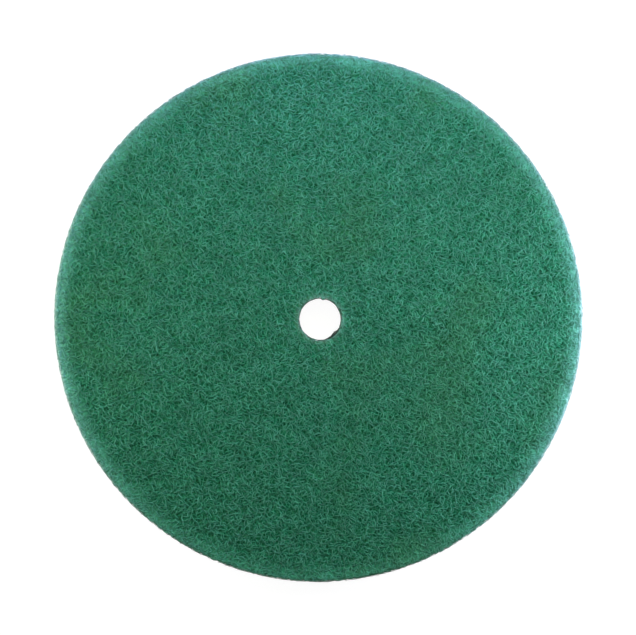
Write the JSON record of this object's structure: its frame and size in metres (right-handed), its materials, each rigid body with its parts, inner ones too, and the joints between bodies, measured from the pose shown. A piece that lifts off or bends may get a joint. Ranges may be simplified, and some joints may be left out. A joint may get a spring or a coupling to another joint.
{
  "type": "non-woven abrasive disc",
  "caption": "Thick round scouring disc of open, bonded non-woven abrasive fibre with a small round centre hole, green on both faces.",
  "frame": {"origin": "centre of the disc's outline, in the plane of the face it lies on", "axes": "+Z is the disc's axis, out of the face that shows in the picture; +Y points up the picture and +X to its right"},
  "size_m": [0.4064, 0.4064, 0.025],
  "materials": {
    "green_web": "matte, open web of resin-bonded green fibre"
  },
  "bodies": {
    "root": {"abrasive_disc": "green_web"}
  },
  "joints": []
}
